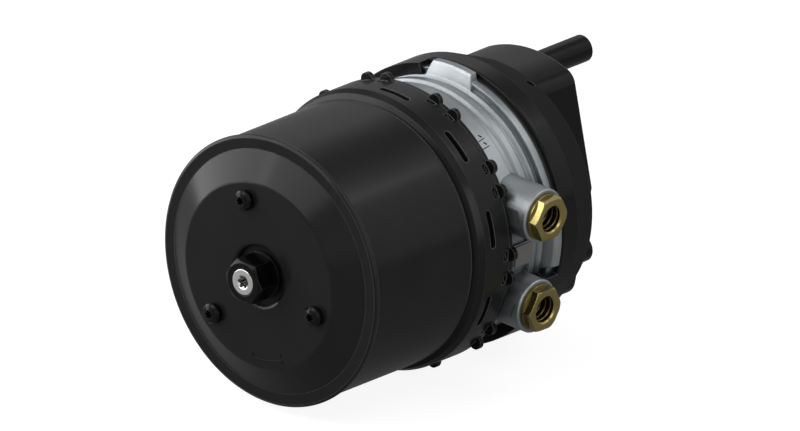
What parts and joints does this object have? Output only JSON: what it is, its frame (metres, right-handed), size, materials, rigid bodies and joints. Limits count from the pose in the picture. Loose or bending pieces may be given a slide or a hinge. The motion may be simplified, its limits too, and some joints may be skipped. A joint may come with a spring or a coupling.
{
  "type": "air brake chamber",
  "caption": "Double air brake chamber for a disc brake: spring housing with release bolt, cast flange with side ports, service housing with mounting studs.",
  "frame": {"origin": "centre of the mounting face, on the chamber's axis and midway between the two studs", "axes": "+Y along the chamber's axis, the way the pushrod comes out; +Z from the lower stud to the upper stud; +X on the side of the two ports"},
  "size_m": [0.1875, 0.294, 0.1726],
  "materials": {
    "black_steel": "gloss black paint",
    "black_steel_dark": "black paint",
    "cast_aluminium": "fine blasted casting",
    "brass": "machined",
    "rubber": "matt",
    "bright_plate": "satin",
    "stud_steel": "black coated",
    "zinc_steel": "zinc plated",
    "spring_steel": "black coated spring steel",
    "guide_plastic": "natural plastic",
    "insert_steel": "satin",
    "screw_steel": "black coated"
  },
  "bodies": {
    "chamber": {"spring_housing": "black_steel", "lock_ring": "black_steel_dark", "retaining_ring": "spring_steel", "intermediate_flange": "cast_aluminium", "upper_port_fitting": "brass", "lower_port_fitting": "brass", "port_seals": "rubber", "tag_plate": "bright_plate", "service_housing": "black_steel", "mounting_studs": "stud_steel", "diaphragm": "rubber", "return_spring": "spring_steel", "power_spring": "spring_steel", "boot_ring": "zinc_steel", "dust_boot": "rubber", "face_seal": "rubber", "flange_o_ring": "rubber", "hub_bush": "guide_plastic", "tube_seal": "rubber", "bearing_plate": "zinc_steel", "thrust_washer": "zinc_steel", "cover_screws": "screw_steel"},
    "parking_piston": {"spring_piston": "cast_aluminium", "piston_seal": "rubber", "piston_guide_ring": "guide_plastic", "push_tube": "zinc_steel", "tube_snap_ring": "spring_steel", "tube_plug": "guide_plastic"},
    "pushrod_assembly": {"push_plate": "zinc_steel", "pushrod": "zinc_steel"},
    "release_bolt_assembly": {"release_bolt": "black_steel_dark", "release_insert": "insert_steel", "release_nut": "zinc_steel", "nut_pin": "spring_steel"}
  },
  "joints": [
    {"name": "parking_piston_slide", "type": "slide", "parent": "chamber", "child": "parking_piston", "axis": [0, 1, 0], "range_m": [0, 0.057], "deforming": ["power_spring"]},
    {"name": "pushrod_slide", "type": "slide", "parent": "chamber", "child": "pushrod_assembly", "axis": [0, 1, 0], "range_m": [0, 0.057], "deforming": ["return_spring", "diaphragm", "dust_boot"]},
    {"name": "release_bolt_turn", "type": "hinge", "parent": "chamber", "child": "release_bolt_assembly", "pos_m": [0, -0.234, 0], "axis": [0, 1, 0], "continuous": true}
  ],
  "couplings": [
    {"joint": "pushrod_slide", "follows": "parking_piston_slide", "ratio": 1}
  ]
}
